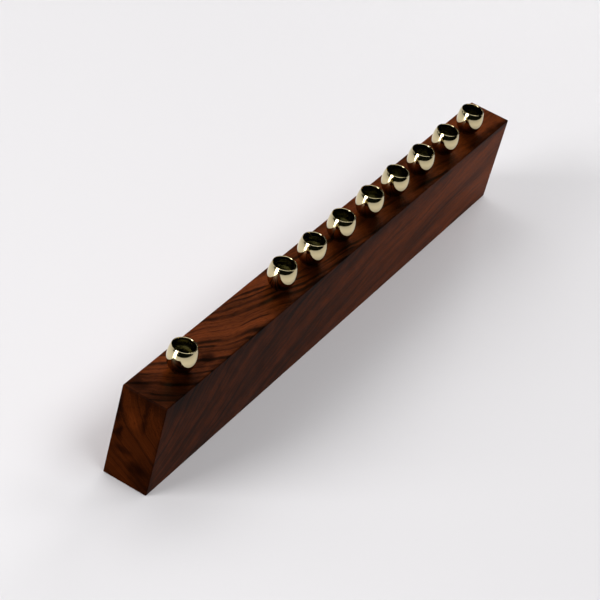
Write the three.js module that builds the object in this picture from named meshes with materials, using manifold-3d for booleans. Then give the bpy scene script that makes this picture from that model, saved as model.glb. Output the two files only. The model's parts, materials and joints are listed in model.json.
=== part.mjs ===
// A block menorah: one upright hardwood block with nine turned metal candle cups along its top,
// each held down by a countersunk wood screw through its floor.
// Millimetres, +Z up. The origin is at the middle of the block's underside and +X runs along the
// block. The shamash, the cup that stands apart, is at the -X end.

import * as THREE from 'three';
import { mergeVertices } from 'three/addons/utils/BufferGeometryUtils.js';
import Module from 'manifold-3d';

// Driving dimensions ------------------------------------------------------------------------

const BLOCK = { length: 348, depth: 23.5, height: 51, easing: 0.6 };

// Cup centres along X. The night candles are evenly spaced; the shamash stands three spaces off.
const ROW = { shamash: -146.4, first: -58.4, pitch: 28.8 };

// How far each night candle's hand-drilled hole strays along X from its even place.
const DRIFT = [0.1, -0.1, 0.3, 1.2, -0.1, -0.2, -0.4, 0.8];

const CUP = {
  height: 13.6,
  widestRadius: 7.1,
  widestAt: 7.8,        // height of the widest ring above the block
  baseRadius: 3.9,
  rimRadius: 6.05,
  boreRadius: 5.55,     // a 7/16 inch candle bore
  floor: 3,             // thickness of the floor under the bore
  floorFillet: 0.5,
  screwHoleRadius: 1.8,
};

const SCREW = { headRadius: 3.5, rootRadius: 1.2, length: 19, tip: 3, recess: 0.9 };
const PILOT = { radius: 1.5, spareDepth: 1.5 };

const ROUND = 24;        // sides of every turned surface
const STEPS_BELOW = 6;   // outline steps from a cup's base to its widest ring
const STEPS_ABOVE = 4;   // and from there to its lip
const LIP_STEPS = 4;

// Derived dimensions ------------------------------------------------------------------------

const nightX = DRIFT.map((drift, i) => ROW.first + i * ROW.pitch + drift);
const cups = [
  { name: 'shamash', x: ROW.shamash },
  ...nightX.map((x, i) => ({ name: `candle_${i + 1}`, x })),
];
const lipRadius = (CUP.rimRadius - CUP.boreRadius) / 2;
const lipHeight = CUP.height - lipRadius;
const screwTipDepth = SCREW.length - CUP.floor;   // below the block's top

// Materials ---------------------------------------------------------------------------------

const walnut = () => new THREE.MeshStandardMaterial({ color: 0x4a2414, roughness: 0.42, metalness: 0 });
const paleBrass = () => new THREE.MeshStandardMaterial({ color: 0xd8cfae, roughness: 0.06, metalness: 1 });
const steel = () => new THREE.MeshStandardMaterial({ color: 0xb4b6b8, roughness: 0.3, metalness: 1 });

// Geometry helpers --------------------------------------------------------------------------

const point = (radius, z) => new THREE.Vector2(radius, z);

// Turns an outline of (radius, z) points about the Z axis.
function turned(outline) {
  return new THREE.LatheGeometry(outline, ROUND).rotateX(Math.PI / 2);
}

// Points of an elliptic arc, from angle a to angle b, ends included.
function arc(radius0, z0, radiusSpan, zSpan, a, b, steps) {
  return Array.from({ length: steps + 1 }, (_, i) => {
    const t = a + ((b - a) * i) / steps;
    return point(radius0 + radiusSpan * Math.cos(t), z0 + zSpan * Math.sin(t));
  });
}

// Half-height of the ellipse of half-width `widest` that is `radius` wide at distance `rise`.
const ellipseSpan = (widest, radius, rise) => rise / Math.sqrt(1 - (radius / widest) ** 2);

// Merged, triangle-only copy of a closed geometry, as a manifold solid.
function toSolid(wasm, geometry) {
  const bare = geometry.clone();
  bare.deleteAttribute('normal');
  bare.deleteAttribute('uv');
  const merged = mergeVertices(bare, 1e-4);
  const index = Array.from(merged.index.array);
  const triVerts = [];
  for (let i = 0; i < index.length; i += 3) {
    const [a, b, c] = index.slice(i, i + 3);
    if (a !== b && b !== c && c !== a) triVerts.push(a, b, c);
  }
  return new wasm.Manifold(new wasm.Mesh({
    numProp: 3,
    vertProperties: new Float32Array(merged.attributes.position.array),
    triVerts: new Uint32Array(triVerts),
  }));
}

function fromSolid(solid) {
  const mesh = solid.getMesh();
  const geometry = new THREE.BufferGeometry();
  geometry.setAttribute('position', new THREE.BufferAttribute(mesh.vertProperties, 3));
  geometry.setIndex(new THREE.BufferAttribute(mesh.triVerts, 1));
  geometry.computeVertexNormals();
  return geometry;
}

// The block: a box with eased edges and a pilot hole under each cup --------------------------

function easedBox({ length, depth, height, easing }) {
  const x = length / 2 - easing;
  const y = depth / 2 - easing;
  const corner = (cx, cy, from) => arc(cx, cy, easing, easing, from, from + Math.PI / 2, 2);
  const outline = [
    ...corner(x, y, 0),
    ...corner(-x, y, Math.PI / 2),
    ...corner(-x, -y, Math.PI),
    ...corner(x, -y, 1.5 * Math.PI),
  ];
  return new THREE.ExtrudeGeometry(new THREE.Shape(outline), {
    depth: height - 2 * easing,
    bevelThickness: easing,
    bevelSize: easing,
    bevelOffset: -easing,
    bevelSegments: 2,
  }).translate(0, 0, easing);
}

// A drilled hole's shape, with the drill's cone at the bottom and its mouth above the top face.
function pilotDrill() {
  const bottom = BLOCK.height - screwTipDepth - PILOT.spareDepth;
  return turned([
    point(0, bottom - PILOT.radius),
    point(PILOT.radius, bottom),
    point(PILOT.radius, BLOCK.height + 1),
    point(0, BLOCK.height + 1),
  ]);
}

function blockGeometry(wasm) {
  const drill = toSolid(wasm, pilotDrill());
  const holes = cups.map(({ x }) => drill.translate([x, 0, 0]));
  const drilled = holes.reduce((block, hole) => block.subtract(hole), toSolid(wasm, easedBox(BLOCK)));
  return fromSolid(drilled);
}

// A cup: barrel outside, straight bore, filleted floor with a countersunk screw hole ----------

function cupGeometry() {
  const below = ellipseSpan(CUP.widestRadius, CUP.baseRadius, CUP.widestAt);
  const above = ellipseSpan(CUP.widestRadius, CUP.rimRadius, lipHeight - CUP.widestAt);
  const startAngle = -Math.asin(CUP.widestAt / below);
  const endAngle = Math.asin((lipHeight - CUP.widestAt) / above);
  const outside = [
    ...arc(0, CUP.widestAt, CUP.widestRadius, below, startAngle, 0, STEPS_BELOW),
    ...arc(0, CUP.widestAt, CUP.widestRadius, above, 0, endAngle, STEPS_ABOVE).slice(1),
  ];
  const lip = arc(CUP.boreRadius + lipRadius, lipHeight, lipRadius, lipRadius, 0, Math.PI, LIP_STEPS);
  const fillet = arc(
    CUP.boreRadius - CUP.floorFillet, CUP.floor + CUP.floorFillet,
    CUP.floorFillet, CUP.floorFillet, 0, -Math.PI / 2, 2,
  );
  const sinkDepth = SCREW.headRadius - CUP.screwHoleRadius;   // a 90 degree countersink
  const screwHole = [
    point(SCREW.headRadius, CUP.floor),
    point(CUP.screwHoleRadius, CUP.floor - sinkDepth),
    point(CUP.screwHoleRadius, 0),
    point(CUP.baseRadius, 0),
  ];
  return turned([...outside, ...lip.slice(1), ...fillet, ...screwHole]);
}

// A screw: 90 degree countersunk head, dished socket, plain root, pointed tip ------------------

function screwGeometry() {
  const headDepth = SCREW.headRadius - SCREW.rootRadius;
  const top = CUP.floor;
  return turned([
    point(0, top - SCREW.length),
    point(SCREW.rootRadius, top - SCREW.length + SCREW.tip),
    point(SCREW.rootRadius, top - headDepth),
    point(SCREW.headRadius, top),
    point(SCREW.recess * 2, top),
    point(SCREW.recess, top - SCREW.recess),
    point(0, top - SCREW.recess),
  ]);
}

// Assembly ----------------------------------------------------------------------------------

function part(name, geometry, material, x, z) {
  const mesh = new THREE.Mesh(geometry, material);
  mesh.name = name;
  mesh.position.set(x, 0, z);
  return mesh;
}

const wasm = await Module();
wasm.setup();

const menorah = new THREE.Group();
menorah.add(part('walnut_block', blockGeometry(wasm), walnut(), 0, 0));
for (const { name, x } of cups) {
  menorah.add(part(`${name}_cup`, cupGeometry(), paleBrass(), x, BLOCK.height));
  menorah.add(part(`${name}_screw`, screwGeometry(), steel(), x, BLOCK.height));
}

export default menorah;
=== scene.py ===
"""The looks of the block menorah: walnut block, nine polished candle cups and their screws."""

import json
import math

import bmesh
import bpy
from mathutils import Matrix, Vector

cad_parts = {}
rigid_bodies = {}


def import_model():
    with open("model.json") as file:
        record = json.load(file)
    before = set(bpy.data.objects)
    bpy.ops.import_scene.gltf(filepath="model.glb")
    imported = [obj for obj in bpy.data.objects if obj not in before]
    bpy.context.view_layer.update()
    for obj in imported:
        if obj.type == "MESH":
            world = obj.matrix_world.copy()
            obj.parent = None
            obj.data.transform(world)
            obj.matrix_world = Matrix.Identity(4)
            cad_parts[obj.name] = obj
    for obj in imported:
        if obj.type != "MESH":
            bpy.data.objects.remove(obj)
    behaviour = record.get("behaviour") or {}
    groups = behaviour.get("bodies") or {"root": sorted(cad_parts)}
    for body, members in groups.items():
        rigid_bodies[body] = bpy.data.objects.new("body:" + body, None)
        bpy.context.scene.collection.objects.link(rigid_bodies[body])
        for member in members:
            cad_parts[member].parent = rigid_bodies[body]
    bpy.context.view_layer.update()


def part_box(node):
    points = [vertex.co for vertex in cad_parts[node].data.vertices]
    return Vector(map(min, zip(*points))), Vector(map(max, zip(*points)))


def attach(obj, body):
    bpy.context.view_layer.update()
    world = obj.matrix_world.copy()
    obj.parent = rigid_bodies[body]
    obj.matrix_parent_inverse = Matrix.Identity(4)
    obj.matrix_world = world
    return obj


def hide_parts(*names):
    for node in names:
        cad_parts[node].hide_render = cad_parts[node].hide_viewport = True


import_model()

# Driving sizes, in metres unless a comment says otherwise -------------------------------------

mm = 0.001

CAMERA = {
    "target": (-0.0116, 0.0058, 0.0143),
    "azimuth": -158.79,     # degrees, seen from the target, counted from +X
    "elevation": 35.29,     # degrees
    "roll": 15.73,          # degrees anticlockwise, seen from behind the camera
    "distance": 1.12,
    "lens": 134.8,          # millimetres on a 36 mm sensor
}

CUP_NAMES = ["shamash"] + [f"candle_{i}" for i in range(1, 9)]

CUP = {
    "height": 0.0136, "widest_radius": 0.0071, "widest_at": 0.0078, "base_radius": 0.0039,
    "rim_radius": 0.00605, "bore_radius": 0.00555, "floor": 0.003, "floor_fillet": 0.0005,
    "screw_hole": 0.0018, "sink_radius": 0.0035,
}

SCREW = {
    "head_radius": 0.0033, "head_edge": 0.0002, "root_radius": 0.00105, "crest_radius": 0.00145,
    "pitch": 0.0012, "length": 0.019, "tip": 0.003, "plain_shank": 0.0015,
    "cross_reach": 0.0019, "cross_width": 0.0008, "cross_depth": 0.0011,
}

BLOCK = {"easing": 0.0006, "pilot_radius": 0.0015, "pilot_depth": 0.0175}

FLOOR = {"radius": 0.9, "colour": (0.80, 0.785, 0.80, 1), "roughness": 0.2, "specular": 0.6}


# Helpers --------------------------------------------------------------------------------------

def link(obj):
    bpy.context.scene.collection.objects.link(obj)
    return obj


def polar(azimuth, elevation, distance=1.0):
    """Vector of that length towards an azimuth and elevation in degrees."""
    a, e = math.radians(azimuth), math.radians(elevation)
    return distance * Vector((math.cos(e) * math.cos(a), math.cos(e) * math.sin(a), math.sin(e)))


def placed(position, direction, roll=0.0):
    """Matrix that sets a thing at a position, its +Z along a direction and its +Y up, then rolled."""
    turn = direction.to_track_quat("Z", "Y").to_matrix() @ Matrix.Rotation(math.radians(roll), 3, "Z")
    return Matrix.Translation(position) @ turn.to_4x4()


def middle(low, high):
    """X and Y of a box's middle."""
    return (low.x + high.x) / 2, (low.y + high.y) / 2


def arc(cx, cz, rx, rz, start, end, steps):
    """Points of an elliptic arc from start to end, in radians, ends included."""
    angles = [start + (end - start) * i / steps for i in range(steps + 1)]
    return [(cx + rx * math.cos(t), cz + rz * math.sin(t)) for t in angles]


def finish_mesh(bm, name):
    mesh = bpy.data.meshes.new(name)
    bm.to_mesh(mesh)
    bm.free()
    return mesh


def add_ring(bm, radius_at, z, steps):
    """A ring of points at height z, with its radius given for each angle."""
    angles = [2 * math.pi * i / steps for i in range(steps)]
    return [bm.verts.new((radius_at(a) * math.cos(a), radius_at(a) * math.sin(a), z)) for a in angles]


def add_face(bm, corners):
    """A face through corners, of which some may be the same point."""
    bm.faces.new([v for k, v in enumerate(corners) if v not in corners[:k]])


def turned_mesh(name, outline, steps, closed=False):
    """Mesh of an outline of (radius, height) points turned about Z.

    A closed outline comes back to its first point. An open one starts and ends on the axis."""
    bm = bmesh.new()
    rings = []
    for radius, z in outline:
        if radius == 0:
            rings.append([bm.verts.new((0, 0, z))] * steps)
        else:
            rings.append(add_ring(bm, lambda angle, radius=radius: radius, z, steps))
    for low, high in zip(rings, rings[1:] + rings[:1] if closed else rings[1:]):
        for i in range(steps):
            j = (i + 1) % steps
            add_face(bm, [low[i], low[j], high[j], high[i]])
    return finish_mesh(bm, name)


def cut(obj, cutter_mesh):
    """Cut a closed mesh out of an object's mesh and drop the cutter."""
    cutter = link(bpy.data.objects.new("cutter", cutter_mesh))
    modifier = obj.modifiers.new("cut", "BOOLEAN")
    modifier.operation = "DIFFERENCE"
    modifier.solver = "EXACT"
    modifier.object = cutter
    result = bpy.data.meshes.new_from_object(obj.evaluated_get(bpy.context.evaluated_depsgraph_get()))
    obj.modifiers.clear()
    obj.data = result
    bpy.data.objects.remove(cutter)


# Material helpers -----------------------------------------------------------------------------

def new_material(name):
    material = bpy.data.materials.new(name)
    material.use_nodes = True
    return material, material.node_tree, material.node_tree.nodes["Principled BSDF"]


def plain_material(name, colour, roughness, specular):
    material, _, shader = new_material(name)
    shader.inputs["Base Color"].default_value = colour
    shader.inputs["Roughness"].default_value = roughness
    shader.inputs["Specular IOR Level"].default_value = specular
    return material


def put(tree, kind, inputs, **settings):
    """Add a node. An input given a socket is linked to it, and one given a value is set."""
    node = tree.nodes.new(kind)
    for key, value in settings.items():
        setattr(node, key, value)
    for key, value in inputs.items():
        socket = node.inputs[key]
        if kind == "ShaderNodeMix" and key in ("A", "B"):
            socket = [s for s in node.inputs if s.name == key and s.type == node.data_type][0]
        if isinstance(value, bpy.types.NodeSocket):
            tree.links.new(value, socket)
        else:
            socket.default_value = value
    return node


def maths(tree, operation, *values):
    return put(tree, "ShaderNodeMath", dict(enumerate(values)), operation=operation).outputs[0]


def vector_maths(tree, operation, *values):
    return put(tree, "ShaderNodeVectorMath", dict(enumerate(values)), operation=operation).outputs[0]


def scale(tree, vector, factor):
    return put(tree, "ShaderNodeVectorMath", {0: vector, "Scale": factor}, operation="SCALE").outputs[0]


def combine(tree, *values):
    return put(tree, "ShaderNodeCombineXYZ", dict(enumerate(values))).outputs[0]


def separate(tree, vector):
    return put(tree, "ShaderNodeSeparateXYZ", {0: vector}).outputs


def spread(tree, value, span, low, high):
    """Map a span of values onto low to high, eased and held beyond both."""
    sockets = {"Value": value, "From Min": span[0], "From Max": span[1], "To Min": low, "To Max": high}
    return put(tree, "ShaderNodeMapRange", sockets, interpolation_type="SMOOTHSTEP").outputs[0]


def noise(tree, place, frequency, detail, roughness=0.5):
    """Noise around 0.5, with about frequency grains to a unit of length."""
    sockets = {"Vector": place, "Scale": frequency, "Detail": detail, "Roughness": roughness}
    return put(tree, "ShaderNodeTexNoise", sockets).outputs["Fac"]


def stretched_noise(tree, place, grain, detail):
    """Noise whose grains have different sizes along X, Y and Z."""
    return noise(tree, vector_maths(tree, "MULTIPLY", place, [1 / size for size in grain]), 1.0, detail)


def blend(tree, factor, first, second):
    """The first colour where the factor is 0 and the second where it is 1."""
    sockets = {"Factor": factor, "A": first, "B": second}
    return put(tree, "ShaderNodeMix", sockets, data_type="RGBA").outputs["Result"]


def ramp(tree, value, stops):
    """Colours laid along a value, each stop a position and a colour."""
    node = put(tree, "ShaderNodeValToRGB", {"Fac": value})
    elements = node.color_ramp.elements
    elements[0].position, elements[1].position = stops[0][0], stops[-1][0]
    for position, _ in stops[1:-1]:
        elements.new(position)
    for element, (_, colour) in zip(elements, stops):
        element.color = colour
    return node.outputs["Color"]


def bump(tree, height, depth, strength):
    sockets = {"Height": height, "Distance": depth, "Strength": strength}
    return put(tree, "ShaderNodeBump", sockets).outputs["Normal"]


def feed(tree, shader, outputs):
    """Link each output to the shader's input of that name."""
    for name, output in outputs.items():
        tree.links.new(output, shader.inputs[name])


def place_in_mm(tree):
    """Where a point lies in its own object, in millimetres."""
    return scale(tree, put(tree, "ShaderNodeTexCoord", {}).outputs["Object"], 1 / mm)


# Camera, floor and light ----------------------------------------------------------------------

def make_camera():
    data = bpy.data.cameras.new("camera")
    data.lens = CAMERA["lens"]
    camera = link(bpy.data.objects.new("camera", data))
    back = polar(CAMERA["azimuth"], CAMERA["elevation"])
    position = Vector(CAMERA["target"]) + CAMERA["distance"] * back
    camera.matrix_world = placed(position, back, CAMERA["roll"])
    bpy.context.scene.camera = camera


def make_floor():
    """A round pale table top."""
    bm = bmesh.new()
    bmesh.ops.create_circle(bm, cap_ends=True, segments=128, radius=FLOOR["radius"])
    mesh = finish_mesh(bm, "floor")
    mesh.materials.append(
        plain_material("white_paper", FLOOR["colour"], FLOOR["roughness"], FLOOR["specular"])
    )
    floor = link(bpy.data.objects.new("floor", mesh))


# What a light can be kept to, besides everything: the things it lights alone or leaves out.
LIT = {
    "block": {"things": ["walnut_block_eased"], "state": "INCLUDE"},
    "not block": {"things": ["walnut_block_eased"], "state": "EXCLUDE"},
    "metal": {"things": ["walnut_block_eased", "floor"], "state": "EXCLUDE"},
}

# Each soft box: azimuth, elevation, distance, width, height, watts, which kind of surface sees it
# and what it lights. Matt surfaces and mirrors see different boxes, so each can be set by itself.
LIGHTS = {
    "front_top": (-100, 60, 3.0, 2.2, 1.3, 41.0, "matt", "not block"),
    "window": (150, 22, 3.0, 1.5, 1.2, 76.0, "matt", "not block"),
    "low_right": (8, 14, 3.0, 1.5, 0.75, 58.0, "matt", "not block"),
    "back_high": (58, 53, 3.0, 2.4, 1.1, 21.0, "matt", "all"),
    "wall": (80, 10, 3.0, 5.5, 0.65, 45.0, "matt", "all"),
    "end_high": (-28, 47, 3.0, 1.0, 0.9, 12.0, "matt", "not block"),
    "key": (40, 33, 3.0, 2.8, 1.7, 116.0, "matt", "block"),
    "window_spill": (150, 22, 3.0, 1.5, 1.2, 28.0, "matt", "block"),
    "front_low": (-75, 12, 3.0, 2.0, 1.0, 0.8, "matt", "block"),
    "near_right": (-36, 10, 0.45, 0.3, 0.15, 0.8, "matt", "block"),
    "window_glare": (160, 16, 3.0, 1.5, 1.8, 115.0, "mirror", "all"),
    "wall_glare": (80, 12, 3.0, 6.0, 1.2, 18.0, "mirror", "metal"),
    "ceiling_glare": (-90, 80, 2.8, 4.5, 3.2, 60.0, "mirror", "metal"),
}

# Black flats: azimuth of one edge and of the other, in degrees, distance and height. Only mirror
# reflections show them. They stand for the unlit side of the room and for a window post.
FLATS = {
    "dark_side": (-190, -15, 0.5, 0.6),
    "window_post": (141, 146, 0.5, 0.6),
}
FLAT_PANEL = 5              # degrees
FLAT_BLACK = (0.004, 0.005, 0.003, 1)

ROOM = {
    "dark": (0.008, 0.010, 0.006, 1),
    "ambient": (0.05, 0.05, 0.05, 1),
    "backdrop": (0.80, 0.79, 0.81, 1),
}


def area_light(name, azimuth, elevation, distance, width, height, watts, seen_in, lit):
    """A soft box facing the object, unseen by the camera itself."""
    data = bpy.data.lights.new(name, "AREA")
    data.shape = "RECTANGLE"
    data.size = width
    data.size_y = height
    data.energy = watts
    light = link(bpy.data.objects.new(name, data))
    away = polar(azimuth, elevation)
    light.matrix_world = placed(distance * away, away)
    light.visible_camera = False
    light.visible_glossy = seen_in != "matt"
    light.visible_diffuse = seen_in != "mirror"
    if lit != "all":
        receivers = bpy.data.collections.new(f"{name}_receivers")
        light.light_linking.receiver_collection = receivers
        for i, thing in enumerate(LIT[lit]["things"]):
            receivers.objects.link(bpy.data.objects[thing])
            receivers.collection_objects[i].light_linking.link_state = LIT[lit]["state"]


def make_room():
    """A dark room, with a little ambient light on matt surfaces, behind a pale backdrop."""
    world = bpy.data.worlds.new("room")
    world.use_nodes = True
    tree = world.node_tree
    dark = tree.nodes["Background"]
    dark.inputs["Color"].default_value = ROOM["dark"]
    ambient = put(tree, "ShaderNodeBackground", {"Color": ROOM["ambient"]})
    backdrop = put(tree, "ShaderNodeBackground", {"Color": ROOM["backdrop"]})
    ray = put(tree, "ShaderNodeLightPath", {}).outputs
    room = put(tree, "ShaderNodeMixShader", {0: ray["Is Diffuse Ray"], 1: dark.outputs[0],
                                             2: ambient.outputs[0]})
    view = put(tree, "ShaderNodeMixShader", {0: ray["Is Camera Ray"], 1: room.outputs[0],
                                             2: backdrop.outputs[0]})
    tree.links.new(view.outputs[0], tree.nodes["World Output"].inputs["Surface"])
    bpy.context.scene.world = world


def make_flat(name, start, end, distance, height):
    bm = bmesh.new()
    steps = max(2, round(abs(end - start) / FLAT_PANEL))
    feet = [polar(start + (end - start) * i / steps, 0, distance) for i in range(steps + 1)]
    low = [bm.verts.new(foot) for foot in feet]
    high = [bm.verts.new(foot + Vector((0, 0, height))) for foot in feet]
    for i in range(steps):
        bm.faces.new((low[i], low[i + 1], high[i + 1], high[i]))
    mesh = finish_mesh(bm, name)
    mesh.materials.append(plain_material(f"{name}_black", FLAT_BLACK, roughness=1.0, specular=0.0))
    flat = link(bpy.data.objects.new(name, mesh))
    flat.visible_camera = False
    flat.visible_diffuse = False
    flat.visible_shadow = False


def make_light():
    make_room()
    for name, values in FLATS.items():
        make_flat(name, *values)
    for name, values in LIGHTS.items():
        area_light(name, *values)
    bpy.context.scene.view_settings.view_transform = "Standard"


# Cups -----------------------------------------------------------------------------------------

# The cups' metal. Sizes are in millimetres, with depth counted from the lip and height from the foot.
METAL = {
    "gold": (0.68, 0.58, 0.345, 1),
    "sooty": (0.27, 0.26, 0.15, 1),
    # painted shade: the dark colour laid over the foot, standing in for the shaded wood that the polished
    # foot mirrors
    "painted_foot_shade_colour": (0.15, 0.11, 0.07, 1),
    "polish": (0.03, 0.06),             # roughness where it is cleanest and where most smudged
    "soot_roughness": 0.10,
    "soot_depth": (1.0, 3.5),           # where the soot starts and where it is full
    "painted_foot_shade_height": (3.5, 10.0),      # where the painted shade at the foot stops being full and where it ends
    "painted_foot_shade_waver": 2.0,
    "wall": (0.05, 0.15),               # how far outside the bore the inside ends
    "turning_marks": 0.0005,            # how deep the lathe's rings are
    "hand_waver": 12.0,                 # how much deeper the polishing's unevenness is
}


def cup_outline():
    """Closed outline of a cup's wall and floor: foot, barrel, rounded lip, bore, floor, screw hole."""
    c = CUP
    lip = (c["rim_radius"] - c["bore_radius"]) / 2
    top = c["height"] - lip
    below = c["widest_at"] / math.sqrt(1 - (c["base_radius"] / c["widest_radius"]) ** 2)
    above = (top - c["widest_at"]) / math.sqrt(1 - (c["rim_radius"] / c["widest_radius"]) ** 2)
    start = -math.asin(c["widest_at"] / below)
    end = math.asin((top - c["widest_at"]) / above)
    outside = arc(0, c["widest_at"], c["widest_radius"], below, start, 0, steps=24)
    outside += arc(0, c["widest_at"], c["widest_radius"], above, 0, end, steps=16)[1:]
    rim = arc(c["bore_radius"] + lip, top, lip, lip, 0, math.pi, steps=8)[1:]
    corner = c["floor_fillet"]
    fillet = arc(c["bore_radius"] - corner, c["floor"] + corner, corner, corner, 0, -math.pi / 2, steps=5)
    sink = [
        (c["sink_radius"], c["floor"]),
        (c["screw_hole"], c["floor"] - (c["sink_radius"] - c["screw_hole"])),
        (c["screw_hole"], 0),
    ]
    return outside + rim + fillet + sink


def polished_metal():
    """Pale gold plate: mirror bright outside, darkened at the foot by painted shade, and dulled by soot in
    the bore.
    """
    material, tree, shader = new_material("polished_cup_metal")
    place = place_in_mm(tree)
    x, y, z = separate(tree, place)
    radius = maths(tree, "SQRT", maths(tree, "MULTIPLY_ADD", x, x, maths(tree, "MULTIPLY", y, y)))
    smudge = noise(tree, place, frequency=0.5, detail=4.0)

    rings = noise(tree, combine(tree, radius, 0.0, z), frequency=4.0, detail=3.0)
    wobble = noise(tree, place, frequency=0.22, detail=1.0)
    height = maths(tree, "MULTIPLY_ADD", wobble, METAL["hand_waver"], rings)

    bore, lip = CUP["bore_radius"] / mm, CUP["height"] / mm
    inside = spread(tree, radius, [bore + out for out in METAL["wall"]], 1.0, 0.0)
    soot = maths(tree, "MULTIPLY", inside, spread(tree, z, [lip - d for d in METAL["soot_depth"]], 0.0, 1.0))
    runs = noise(tree, combine(tree, x, y), frequency=0.45, detail=2.0)
    soot = maths(tree, "MULTIPLY", soot, spread(tree, runs, (0.40, 0.60), 0.85, 1.0))
    # Painted shade: the metal darkens towards the foot, where it mirrors the shaded wood, but not inside the
    # bore.
    painted_foot_shade = maths(tree, "MULTIPLY_ADD", smudge, METAL["painted_foot_shade_waver"], z)
    painted_foot_shade = spread(tree, painted_foot_shade, METAL["painted_foot_shade_height"], 1.0, 0.0)
    painted_foot_shade = maths(tree, "MULTIPLY", painted_foot_shade, maths(tree, "SUBTRACT", 1.0, inside))
    colour = blend(tree, soot, METAL["gold"], METAL["sooty"])
    polish = spread(tree, smudge, (0.3, 0.7), *METAL["polish"])
    feed(tree, shader, {
        "Base Color": blend(tree, painted_foot_shade, colour, METAL["painted_foot_shade_colour"]),
        "Roughness": maths(tree, "MULTIPLY_ADD", soot, METAL["soot_roughness"], polish),
        "Normal": bump(tree, height, METAL["turning_marks"] * mm, strength=0.5),
    })
    shader.inputs["Metallic"].default_value = 1.0
    return material


def make_cups():
    metal = polished_metal()
    outline = cup_outline()
    for name in CUP_NAMES:
        node = f"{name}_cup"
        low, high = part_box(node)
        mesh = turned_mesh(f"{node}_turned", outline, steps=96, closed=True)
        mesh.shade_smooth()
        mesh.materials.append(metal)
        cup = link(bpy.data.objects.new(f"{node}_turned", mesh))
        cup.location = (*middle(low, high), low.z)
        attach(cup, "root")
        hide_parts(node)


# Screws ---------------------------------------------------------------------------------------

SCREW_SIDES = 28
ROWS_PER_PITCH = 10
RIDGE_SHARPNESS = 3.2       # twice the pitch over the width of the thread's ridge
CROSS_TAPER = 0.45          # the recess's width at its bottom, over that at the head's face
CROSS_CLEAR = 0.3 * mm      # how far the cutter stands out of the head
SCREW_TURN = 37             # degrees from one screw's recess to the next
SHARP_EDGE = 35             # degrees

STEEL = {
    "tones": [(0.35, (0.03, 0.028, 0.022, 1)), (0.65, (0.12, 0.11, 0.085, 1))],
    "roughness": 0.16,
    "grime_roughness": 0.25,
    "grime_depth": 0.02,    # millimetres
}


def thread_radius(angle, z, thread_start):
    """The threaded shank's radius, with the ridge rising at its start and all of it tapering to the tip."""
    s = SCREW
    taper = min(1, (z + s["length"]) / s["tip"])
    lead_in = min(1, (thread_start - z) / s["pitch"])
    turn = (z / s["pitch"] - angle / (2 * math.pi)) % 1
    ridge = max(0, 1 - RIDGE_SHARPNESS * abs(turn - 0.5))
    return (s["root_radius"] + (s["crest_radius"] - s["root_radius"]) * ridge * lead_in) * taper


def screw_mesh(name):
    """Countersunk screw with its head's face at zero height and its thread wound as a helix."""
    s = SCREW
    bm = bmesh.new()
    head = [
        (s["head_radius"] - s["head_edge"] / 2, 0),
        (s["head_radius"], -s["head_edge"] / 2),
        (s["head_radius"], -s["head_edge"]),
        (s["root_radius"], -s["head_edge"] - (s["head_radius"] - s["root_radius"])),
    ]
    rings = [[bm.verts.new((0, 0, 0))] * SCREW_SIDES]
    for radius, z in head:
        rings.append(add_ring(bm, lambda angle, radius=radius: radius, z, SCREW_SIDES))
    thread_start = head[-1][1] - s["plain_shank"]
    step = s["pitch"] / ROWS_PER_PITCH
    for i in range(round((thread_start + s["length"]) / step)):
        z = thread_start - i * step
        rings.append(add_ring(bm, lambda angle, z=z: thread_radius(angle, z, thread_start), z, SCREW_SIDES))
    rings.append([bm.verts.new((0, 0, -s["length"]))] * SCREW_SIDES)
    for high, low in zip(rings, rings[1:]):
        for i in range(SCREW_SIDES):
            j = (i + 1) % SCREW_SIDES
            add_face(bm, [high[i], low[i], low[j], high[j]])
    return finish_mesh(bm, name)


def cross_cutter():
    """Two crossed wedges that leave a cross recess when cut from the head."""
    bm = bmesh.new()
    reach, half, depth = SCREW["cross_reach"], SCREW["cross_width"] / 2, SCREW["cross_depth"]
    outline = []
    for quarter in range(4):
        turn = Matrix.Rotation(quarter * math.pi / 2, 2)
        outline += [turn @ Vector(p) for p in ((reach, -half), (reach, half), (half, half))]
    upper = [bm.verts.new((p.x, p.y, CROSS_CLEAR)) for p in outline]
    lower = [bm.verts.new((p.x * CROSS_TAPER, p.y * CROSS_TAPER, -depth)) for p in outline]
    bm.faces.new(upper)
    bm.faces.new(lower[::-1])
    for i in range(len(outline)):
        j = (i + 1) % len(outline)
        bm.faces.new((lower[i], lower[j], upper[j], upper[i]))
    return finish_mesh(bm, "cross_cutter")


def plated_steel():
    """Dark plated steel with a little grime."""
    material, tree, shader = new_material("plated_screw_steel")
    grime = noise(tree, place_in_mm(tree), frequency=1.6, detail=5.0)
    feed(tree, shader, {
        "Base Color": ramp(tree, grime, STEEL["tones"]),
        "Roughness": maths(tree, "MULTIPLY_ADD", grime, STEEL["grime_roughness"], STEEL["roughness"]),
        "Normal": bump(tree, grime, STEEL["grime_depth"] * mm, strength=0.5),
    })
    shader.inputs["Metallic"].default_value = 1.0
    return material


def make_screws():
    steel = plated_steel()
    pattern = link(bpy.data.objects.new("screw_pattern", screw_mesh("screw_pattern")))
    cut(pattern, cross_cutter())
    for i, name in enumerate(CUP_NAMES):
        node = f"{name}_screw"
        low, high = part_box(node)
        mesh = pattern.data.copy()
        mesh.name = f"{node}_threaded"
        mesh.transform(Matrix.Rotation(math.radians(SCREW_TURN * i), 4, "Z"))
        mesh.materials.clear()
        mesh.materials.append(steel)
        mesh.shade_smooth()
        mesh.set_sharp_from_angle(angle=math.radians(SHARP_EDGE))
        screw = link(bpy.data.objects.new(f"{node}_threaded", mesh))
        screw.location = (*middle(low, high), high.z)
        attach(screw, "root")
        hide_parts(node)
    bpy.data.objects.remove(pattern)


# Block ----------------------------------------------------------------------------------------

# The wood is laid out in millimetres: x from the left end, y from the middle towards the back and
# depth from the top.

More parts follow.
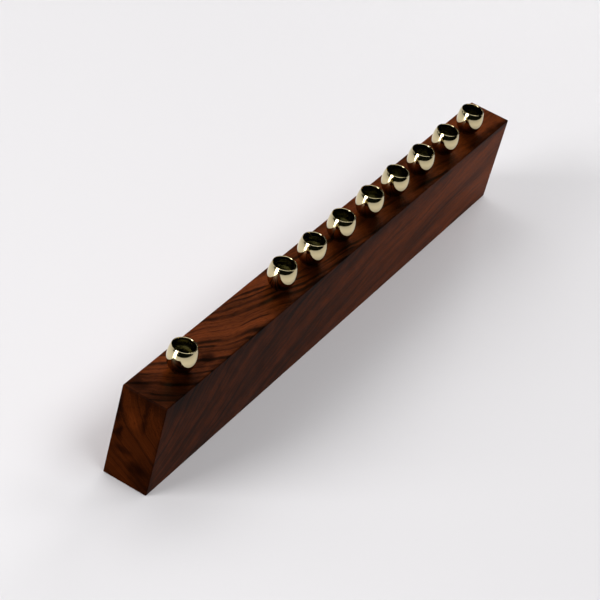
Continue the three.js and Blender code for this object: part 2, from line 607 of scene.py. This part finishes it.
# A growth layer is the surface where y + climb(x) + lean * depth is the same all over. The climb is
# steep at the left end and bends flat, and the layers swirl there. Each wave moves them by so many
# millimetres, in grains of that size each way, with that much detail.
LAYERS = {
    "climb_steady": 0.08, "climb_bend": 69.0, "bend_length": 60.0,
    "lean": 0.62,
    "swirl_length": 30.0, "swirl_square": 0.02, "swirl_lean": -0.47,
    "waves": [(7.0, (45, 14, 14), 1.5), (1.6, (12, 3.5, 3.5), 2.0)],
}

# Dark streaks that stand out, each a layer and its half width.
STREAKS = [
    (-1.0, 0.7), (4.5, 0.7), (13.8, 1.1), (23.5, 0.8), (33.0, 1.2), (43.0, 0.7), (46.3, 1.1),
    (53.5, 0.4), (61.4, 0.8), (65.0, 0.7), (68.5, 0.4), (71.0, 0.7), (80.0, 1.0),
]
STREAK_EDGE = (0.4, 1.7)        # where a streak starts to fade and ends, in half widths
STREAK_DARKNESS = 0.95
STREAK_DEPTH = (0.5, 5.0)       # over which they weaken from the top down the sides,
STREAK_SIDE = 0.4               # to this part
STREAK_END = (0.2, 0.8)         # over which they strengthen from the end face onto the long faces,
STREAK_END_FACE = 0.3           # from this part
STREAK_BREAKS = (0.36, 0.58)    # noise at which they are broken and whole,
STREAK_BROKEN = 0.25            # with this part left where broken

# Patches: middle, how far it reaches each way, and how much it darkens, or lightens if negative.
PATCHES = [
    ((8, -2, 0), (17, 14, 8), 0.60),
    # darker wood at the left end, and partly the shamash's cast shadow painted onto the top and the front
    # face's upper edge
    ((18, -9, 4), (22, 9, 13), 0.55),
    ((0, 11, 13), (6, 2.8, 11), 0.75),
    ((0, 8.5, 25), (6, 2.4, 5), 0.75),
    ((0, 5, 33), (6, 7, 2.6), 0.55),
    ((0, -4, 40), (6, 6, 3.5), 0.55),
    ((0, -2.5, 10), (6, 2.0, 12), 0.65),
    ((0, -8, 44), (6, 9, 16), 0.50),
    ((0, 3, 15), (6, 4, 8), -0.45),
    ((43, -5, 0), (9, 5, 3), 0.80),
    ((5, 8, 0), (7, 7, 2), 0.70),
    ((24, 4, 0), (16, 10, 2), -0.35),
    ((150, -4, 0), (50, 14, 4), 0.15),
    ((240, -4, 0), (80, 14, 5), 0.35),
    # painted shade: the top's front edge and the upper part of the front face are darkened along the whole
    # length
    ((174, -13, 2), (260, 4, 10), 0.45),
    ((70, -14, 24), (170, 4, 50), 0.40),
    ((332, -12, 0), (45, 6, 4), 0.80),
]
PATCH_EDGE = (0.3, 1.15)        # where a patch starts to fade and ends, as a part of its reach
PATCH_WANDER = (14, 7, 7)       # how far its outline wanders each way

WOOD = {
    "tones": [
        (0.36, (0.026, 0.0062, 0.0009, 1)),
        (0.47, (0.080, 0.0160, 0.0022, 1)),
        (0.62, (0.138, 0.0275, 0.0040, 1)),
    ],
    "streak": (0.012, 0.0038, 0.0006, 1),
    "roughness": 0.29,
    "pore_roughness": 0.2,
    "pore_depth": 0.03,
    "end_face": (0.2, 0.7),     # how far from an end the end face stops and the long faces start
    "end_light": 0.62,          # the end grain's brightness over the long grain's
    "end_shine": 0.4,           # and its shine
    "top_face": (0.3, 0.8),     # how far down the top face stops and the sides start
    "shine": (0.025, 0.010),    # the top's and the sides'
}


def block_mesh(low, high):
    """The block with its edges eased."""
    bm = bmesh.new()
    size = high - low
    centre = (low + high) / 2
    corners = [Vector((x, y, z)) for z in (-0.5, 0.5) for y in (-0.5, 0.5) for x in (-0.5, 0.5)]
    verts = [bm.verts.new(centre + corner * size) for corner in corners]
    for face in ((0, 2, 3, 1), (4, 5, 7, 6), (0, 1, 5, 4), (2, 6, 7, 3), (0, 4, 6, 2), (1, 3, 7, 5)):
        bm.faces.new([verts[i] for i in face])
    bmesh.ops.bevel(bm, geom=bm.edges[:], offset=BLOCK["easing"], segments=4, profile=0.5, affect="EDGES")
    return finish_mesh(bm, "walnut_block_eased")


def pilot_drill(name):
    """The drill that makes one cup's pilot hole: a blunt rod under the cup's middle."""
    low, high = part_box(f"{name}_screw")
    block_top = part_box("walnut_block")[1].z
    r, depth = BLOCK["pilot_radius"], BLOCK["pilot_depth"]
    mesh = turned_mesh("pilot_drill", [(0, -depth - r), (r, -depth), (r, mm), (0, mm)], steps=24)
    mesh.transform(Matrix.Translation((*middle(low, high), block_top)))
    return mesh


def growth_layer(tree, place):
    """Which growth layer a point of the block lies in, waviness included."""
    x, y, depth = separate(tree, place)
    decay = maths(tree, "EXPONENT", maths(tree, "DIVIDE", x, -LAYERS["bend_length"]))
    climb = maths(tree, "MULTIPLY_ADD", decay, -LAYERS["climb_bend"], LAYERS["climb_bend"])
    climb = maths(tree, "MULTIPLY_ADD", x, LAYERS["climb_steady"], climb)
    swirl = maths(tree, "MULTIPLY_ADD", depth, LAYERS["swirl_square"], LAYERS["swirl_lean"])
    swirl = maths(tree, "MULTIPLY", swirl, depth)
    near_end = maths(tree, "EXPONENT", maths(tree, "DIVIDE", x, -LAYERS["swirl_length"]))
    layer = maths(tree, "MULTIPLY_ADD", depth, LAYERS["lean"], maths(tree, "ADD", y, climb))
    layer = maths(tree, "MULTIPLY_ADD", swirl, near_end, layer)
    for reach, grain, detail in LAYERS["waves"]:
        wave = maths(tree, "SUBTRACT", stretched_noise(tree, place, grain, detail), 0.5)
        layer = maths(tree, "MULTIPLY_ADD", wave, reach, layer)
    return layer


def streak_strength(tree, place, layer):
    """How strongly the dark streaks show, from 0 to 1: less down the sides and on the end faces."""
    dark = 0.0
    for centre, half_width in STREAKS:
        off = maths(tree, "ABSOLUTE", maths(tree, "SUBTRACT", layer, centre))
        edge = [part * half_width for part in STREAK_EDGE]
        dark = maths(tree, "MAXIMUM", spread(tree, off, edge, STREAK_DARKNESS, 0.0), dark)
    x, _, depth = separate(tree, place)
    dark = maths(tree, "MULTIPLY", dark, spread(tree, depth, STREAK_DEPTH, 1.0, STREAK_SIDE))
    dark = maths(tree, "MULTIPLY", dark, spread(tree, x, STREAK_END, STREAK_END_FACE, 1.0))
    broken = stretched_noise(tree, place, (30, 9, 9), detail=2.0)
    whole = spread(tree, broken, STREAK_BREAKS, STREAK_BROKEN, 1.0)
    return maths(tree, "MULTIPLY", dark, whole)


def patch_light(tree, place):
    """What the patches leave of the wood's brightness, with wandering outlines."""
    cloud = put(tree, "ShaderNodeTexNoise", {"Vector": place, "Scale": 0.12, "Detail": 3.0})
    wander = vector_maths(tree, "SUBTRACT", cloud.outputs["Color"], (0.5, 0.5, 0.5))
    place = vector_maths(tree, "ADD", place, vector_maths(tree, "MULTIPLY", wander, PATCH_WANDER))
    light = 1.0
    for centre, reach, darkening in PATCHES:
        off = vector_maths(tree, "DIVIDE", vector_maths(tree, "SUBTRACT", place, centre), reach)
        off = put(tree, "ShaderNodeVectorMath", {0: off}, operation="LENGTH").outputs["Value"]
        light = maths(tree, "MULTIPLY", light, spread(tree, off, PATCH_EDGE, 1 - darkening, 1.0))
    return light


def walnut():
    """Oiled walnut: wavy layers, dark streaks and patches (some of them painted shade), pores along the
    grain, darker end grain.
    """
    material, tree, shader = new_material("oiled_walnut")
    low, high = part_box("walnut_block")
    place = put(tree, "ShaderNodeTexCoord", {}).outputs["Object"]
    place = vector_maths(tree, "SUBTRACT", place, (low.x, 0, high.z))
    place = vector_maths(tree, "MULTIPLY", place, (1 / mm, 1 / mm, -1 / mm))
    x, y, depth = separate(tree, place)
    from_end = maths(tree, "MINIMUM", x, maths(tree, "SUBTRACT", (high.x - low.x) / mm, x))

    layer = growth_layer(tree, place)
    grain = combine(tree, layer, maths(tree, "MULTIPLY", x, 0.03))
    zones = noise(tree, grain, frequency=0.16, detail=3.0)
    lines = noise(tree, grain, frequency=0.7, detail=4.0, roughness=0.6)
    tone = maths(tree, "MULTIPLY_ADD", lines, 0.5, maths(tree, "MULTIPLY", zones, 0.5))
    tone = ramp(tree, tone, WOOD["tones"])
    streaked = blend(tree, streak_strength(tree, place, layer), tone, WOOD["streak"])

    # Pores show as short dark dashes along the grain, and as dots where the grain ends.
    along, across = maths(tree, "MULTIPLY", x, 0.16), maths(tree, "MULTIPLY", layer, 1.8)
    fibre = combine(tree, along, across, maths(tree, "MULTIPLY_ADD", y, 0.7, depth))
    pores = noise(tree, fibre, frequency=1.3, detail=3.0)
    light = maths(tree, "MULTIPLY", spread(tree, pores, (0.34, 0.52), 0.62, 1.05),
                  spread(tree, from_end, WOOD["end_face"], WOOD["end_light"], 1.0))
    light = maths(tree, "MULTIPLY", light, patch_light(tree, place))
    shine = maths(tree, "MULTIPLY", spread(tree, depth, WOOD["top_face"], *WOOD["shine"]),
                  spread(tree, from_end, WOOD["end_face"], WOOD["end_shine"], 1.0))
    feed(tree, shader, {
        "Base Color": scale(tree, streaked, light),
        "Roughness": maths(tree, "MULTIPLY_ADD", pores, WOOD["pore_roughness"], WOOD["roughness"]),
        "Normal": bump(tree, pores, WOOD["pore_depth"] * mm, strength=0.35),
        "Specular IOR Level": shine,
    })
    return material


def make_block():
    low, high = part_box("walnut_block")
    mesh = block_mesh(low, high)
    mesh.materials.append(walnut())
    block = link(bpy.data.objects.new("walnut_block_eased", mesh))
    for name in CUP_NAMES:
        cut(block, pilot_drill(name))
    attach(block, "root")
    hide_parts("walnut_block")


make_cups()
make_screws()
make_block()
make_camera()
make_floor()
make_light()
